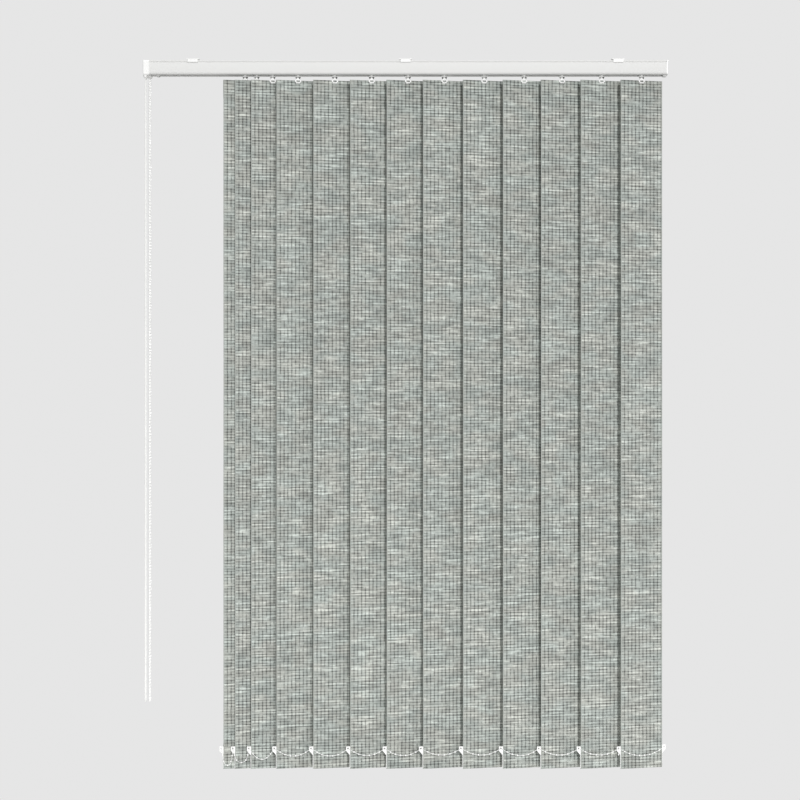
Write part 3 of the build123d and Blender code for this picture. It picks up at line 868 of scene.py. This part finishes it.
def weight_shells(n):
    """The weight in the foot pocket, and the clip with an eye at each end of it."""
    top, recess = 45 * MM, 0.05 * MM  # the weight's faces lie a little deeper than the clip's
    outline = box_outline(SLAT_HALF + 0.8 * MM, SLAT_FOOT + 1.0 * MM, SLAT_FOOT + top, 1.0 * MM)
    made = [plate(n, outline, BEHIND + recess, BEHIND + WEIGHT_T - recess, 0.3 * MM)]
    clip = [(40.5 * MM, top), (40.5 * MM, 24 * MM), (42.5 * MM, 24.5 * MM), (52.8 * MM, 36.6 * MM),
            (52.8 * MM, top)]
    for end in (-1, 1):
        corners = [(end * u, SLAT_FOOT + z) for u, z in clip]
        made.append(clip_plate(n, rounded_outline(corners, 0.8 * MM), np.array([end * CLIP_U, CLIP_Z]),
                               CLIP_HOLE_R, BEHIND, BEHIND + WEIGHT_T))
    return made


def fit_slats():
    """Hook, hanger plate and weight of each slat."""
    for n in range(1, SLATS + 1):
        made = [("hook", hook_shells(n)), ("hanger", hanger_shells(n)), ("weight", weight_shells(n))]
        for name, shells in made:
            part = piece(f"{name}_{n:02d}", shells, FITTING_FINISH, sharp=35)
            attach(part, f"vane_{n:02d}")
            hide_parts(f"slat_fittings_{n:02d}")


fit_slats()
hang_slats()


# ---------------------------------------------------------------- pieces kept from the frame
def paint_frame():
    """Gives each kept CAD node its finish."""
    finishes = {"headrail": RAIL_PAINT_AND_SHADE, "control_end_cap": CAP_FINISH, "idle_end_cap": CAP_FINISH,
                "ceiling_brackets": BRACKET_FINISH, "tilt_rod": ROD_FINISH,
                "chain_wheel": CARRIER_FINISH}
    finishes.update({f"carrier_{n:02d}": CARRIER_FINISH for n in range(1, SLATS + 1)})
    for name, finish in finishes.items():
        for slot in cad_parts[name].material_slots:
            slot.link = "OBJECT"
            slot.material = finish


paint_frame()


# ---------------------------------------------------------------- floor and light
def lay_floor():
    """A plain pale disc below the blind: rings about its middle, and one face inside the smallest."""
    sides, inner, outer, level = 96, 0.01, 1.5, -1.75
    radius = np.linspace(inner, outer, 8)[:, None]
    angle = (2 * math.pi * np.arange(sides) / sides)[None]
    points = np.stack(np.broadcast_arrays(radius * np.cos(angle), radius * np.sin(angle), level),
                      axis=-1)
    flat, faces, _ = shell(points, loop_cols=True)
    mesh = bpy.data.meshes.new("floor")
    mesh.from_pydata(flat.tolist(), [], faces + [list(range(sides))])
    material, net, shader = new_material("pale_floor", Roughness=0.8)
    drift = net.noise(net.node("ShaderNodeTexCoord").outputs["Object"], scale=1.5)
    colour = net.tint(drift, (0.86, 0.86, 0.85, 1), (0.89, 0.89, 0.88, 1))
    net.link(colour, shader.inputs["Base Color"])
    mesh.materials.append(material)
    floor = bpy.data.objects.new("floor", mesh)
    bpy.context.collection.objects.link(floor)


def sun(name, strength, width, right, above):
    """A far light, given by the angles to the right of the camera's line and above it, in degrees."""
    light = bpy.data.lights.new(name, "SUN")
    light.energy = strength
    light.angle = math.radians(width)
    right, above = math.radians(right), math.radians(above)
    towards = Vector((math.sin(right) * math.cos(above), -math.cos(right) * math.cos(above),
                      math.sin(above)))
    made = bpy.data.objects.new(name, light)
    made.rotation_mode = "QUATERNION"
    made.rotation_quaternion = towards.to_track_quat("Z", "Y")
    bpy.context.collection.objects.link(made)


def light_studio():
    """A soft key from the right with a low fill beside it, broad lights from above and behind, and
    even light from all round. The backdrop shows paler than the light it gives."""
    backdrop, light_all_round = 0.79, 0.29
    sun("key", strength=1.45, width=3, right=10, above=17)
    sun("fill", strength=0.95, width=12, right=10, above=-12)
    sun("overhead", strength=1.4, width=50, right=20, above=80)
    sun("back", strength=1.5, width=30, right=155, above=25)
    world = bpy.data.worlds.new("studio")
    world.use_nodes = True
    bpy.context.scene.world = world
    net = Net(world.node_tree)
    world.node_tree.nodes.clear()
    seen = net.node("ShaderNodeBackground", {"Color": (backdrop, backdrop, backdrop, 1),
                                             "Strength": 1.0})
    given = net.node("ShaderNodeBackground", {"Color": (1.0, 1.0, 1.0, 1),
                                              "Strength": light_all_round})
    path = net.node("ShaderNodeLightPath")
    both = net.node("ShaderNodeMixShader", {0: path.outputs["Is Camera Ray"], 1: given.outputs[0],
                                            2: seen.outputs[0]})
    net.node("ShaderNodeOutputWorld", {0: both.outputs[0]})
    bpy.context.scene.view_settings.view_transform = "Standard"


lay_floor()
light_studio()
